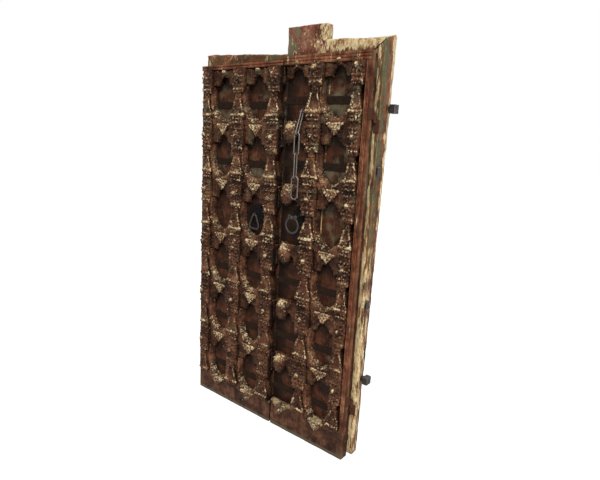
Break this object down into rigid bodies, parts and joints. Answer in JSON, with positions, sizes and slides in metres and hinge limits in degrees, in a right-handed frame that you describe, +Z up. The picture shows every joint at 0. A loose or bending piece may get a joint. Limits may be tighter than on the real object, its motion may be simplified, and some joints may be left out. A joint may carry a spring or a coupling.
{
  "type": "carved double door",
  "caption": "Timber temple door with carved columns, niches and corbels on hinged leaves, hung in a hewn frame with iron straps, ring pulls and a door chain.",
  "frame": {"origin": "middle of the sill's underside", "axes": "+X across the doorway to the right seen from the front, +Y from the carved front to the back, +Z up"},
  "size_m": [1.186, 0.2002, 2.036],
  "materials": {
    "carved_wood": "worn paint",
    "plank_wood": "worn paint",
    "frame_wood": "weathered",
    "crest_wood": "worn paint",
    "moulding_wood": "worn",
    "iron": "forged"
  },
  "bodies": {
    "frame": {"head": "frame_wood", "left_jamb": "frame_wood", "right_jamb": "frame_wood", "sill": "frame_wood", "crest_block": "crest_wood", "wall_lugs": "iron", "side_staples": "iron", "left_hinge_hooks": "iron", "right_hinge_hooks": "iron"},
    "left_leaf": {"left_back_ledges": "plank_wood", "left_bottom_rail": "carved_wood", "left_hinge_eyes": "iron", "left_meeting_column": "carved_wood", "left_middle_column": "carved_wood", "left_outer_column": "carved_wood", "left_plank_1": "plank_wood", "left_plank_2": "plank_wood", "left_plank_3": "plank_wood", "left_pull_eye": "iron", "left_pull_plate": "iron", "left_rail_1": "carved_wood", "left_rail_2": "carved_wood", "left_rail_3": "carved_wood", "left_rail_4": "carved_wood", "left_rail_5": "carved_wood", "left_rail_6": "carved_wood", "left_straps": "iron", "left_top_moulding": "moulding_wood"},
    "right_leaf": {"chain_staple": "iron", "right_back_ledges": "plank_wood", "right_border": "moulding_wood", "right_bottom_rail": "carved_wood", "right_hinge_eyes": "iron", "right_middle_column": "carved_wood", "right_outer_column": "carved_wood", "right_plank_1": "plank_wood", "right_plank_2": "plank_wood", "right_plank_3": "plank_wood", "right_pull_eye": "iron", "right_pull_plate": "iron", "right_rail_1": "carved_wood", "right_rail_2": "carved_wood", "right_rail_3": "carved_wood", "right_rail_4": "carved_wood", "right_rail_5": "carved_wood", "right_rail_6": "carved_wood", "right_straps": "iron", "right_top_moulding": "moulding_wood"},
    "left_ring": {"left_ring": "iron"},
    "right_ring": {"right_ring": "iron"},
    "chain_link_1": {"chain_link_1": "iron"},
    "chain_link_2": {"chain_link_2": "iron"},
    "chain_link_3": {"chain_link_3": "iron"},
    "chain_link_4": {"chain_link_4": "iron"}
  },
  "joints": [
    {"name": "left_leaf_hinge", "type": "hinge", "parent": "frame", "child": "left_leaf", "pos_m": [-0.535, -0.038, 0.9], "axis": [0, 0, -1], "range_deg": [0, 100]},
    {"name": "right_leaf_hinge", "type": "hinge", "parent": "frame", "child": "right_leaf", "pos_m": [0.535, -0.038, 0.9], "axis": [0, 0, 1], "range_deg": [0, 100]},
    {"name": "left_ring_swing", "type": "hinge", "parent": "left_leaf", "child": "left_ring", "pos_m": [-0.116, -0.074, 1.105], "axis": [-1, 0, 0], "range_deg": [0, 80]},
    {"name": "right_ring_swing", "type": "hinge", "parent": "right_leaf", "child": "right_ring", "pos_m": [0.18, -0.124, 1.134], "axis": [-1, 0, 0], "range_deg": [0, 90]},
    {"name": "chain_swing_1", "type": "hinge", "parent": "right_leaf", "child": "chain_link_1", "pos_m": [0.183, -0.091, 1.627], "axis": [-1, 0, 0], "range_deg": [0, 55]},
    {"name": "chain_swing_2", "type": "hinge", "parent": "chain_link_1", "child": "chain_link_2", "pos_m": [0.183, -0.123, 1.529], "axis": [-1, 0, 0], "range_deg": [0, 40]},
    {"name": "chain_swing_3", "type": "hinge", "parent": "chain_link_2", "child": "chain_link_3", "pos_m": [0.183, -0.123, 1.429], "axis": [-1, 0, 0], "range_deg": [0, 40]},
    {"name": "chain_swing_4", "type": "hinge", "parent": "chain_link_3", "child": "chain_link_4", "pos_m": [0.183, -0.123, 1.329], "axis": [-1, 0, 0], "range_deg": [0, 40]}
  ]
}
